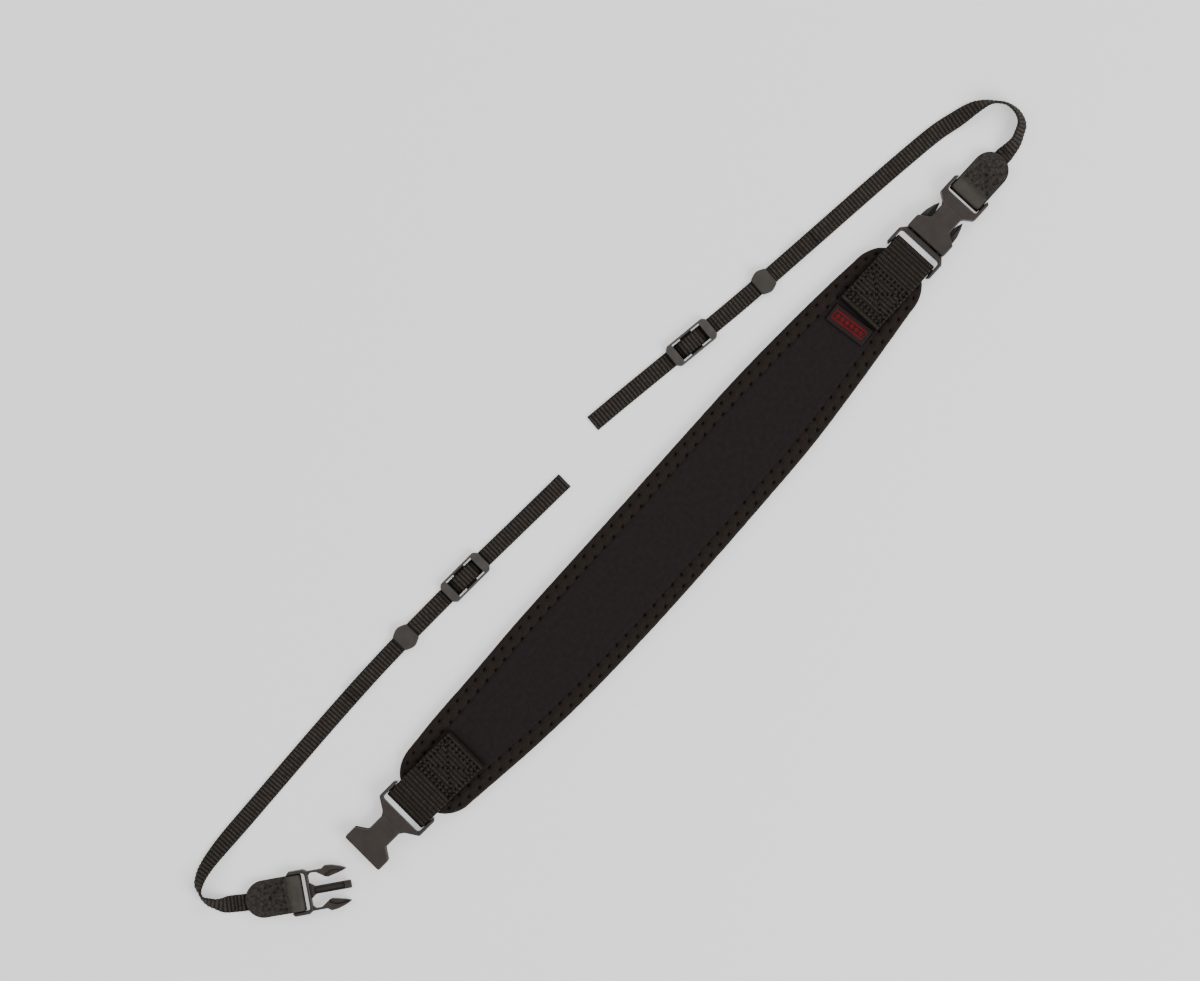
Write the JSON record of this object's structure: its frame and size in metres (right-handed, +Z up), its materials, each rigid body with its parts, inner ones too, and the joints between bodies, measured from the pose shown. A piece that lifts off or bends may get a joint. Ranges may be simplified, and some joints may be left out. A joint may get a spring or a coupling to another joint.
{
  "type": "camera neck strap",
  "caption": "Padded camera neck strap laid flat, with quick-release buckles and two thin connector straps, one fastened and one unclipped beside it.",
  "frame": {"origin": "middle of the bounding box's underside, on the surface that the strap lies on", "axes": "+X along the pad towards its fastened buckle, +Y towards the connector straps that lie beside the pad, +Z up"},
  "size_m": [0.612, 0.1032, 0.0095],
  "materials": {
    "neoprene": "black knit-faced foam rubber",
    "binding": "black woven binding tape",
    "wide_web": "black ribbed webbing",
    "narrow_web": "black ribbed webbing",
    "leather": "black leather, semi-matt",
    "acetal": "black moulded acetal",
    "slide_plastic": "dark moulded plastic",
    "keeper_rubber": "dark moulded rubber",
    "label": "black woven label"
  },
  "bodies": {
    "root": {"pad": "neoprene", "pad_binding": "binding", "upper_tab_web": "wide_web", "lower_tab_web": "wide_web", "label": "label", "upper_male_buckle": "acetal", "upper_female_buckle": "acetal", "lower_female_buckle": "acetal", "lower_male_buckle": "acetal", "upper_leather_tab": "leather", "lower_leather_tab": "leather", "upper_link_web": "narrow_web", "lower_link_web": "narrow_web", "upper_lug_web": "narrow_web", "lower_lug_web": "narrow_web", "upper_keeper": "keeper_rubber", "lower_keeper": "keeper_rubber", "upper_slide": "slide_plastic", "lower_slide": "slide_plastic"}
  },
  "joints": []
}
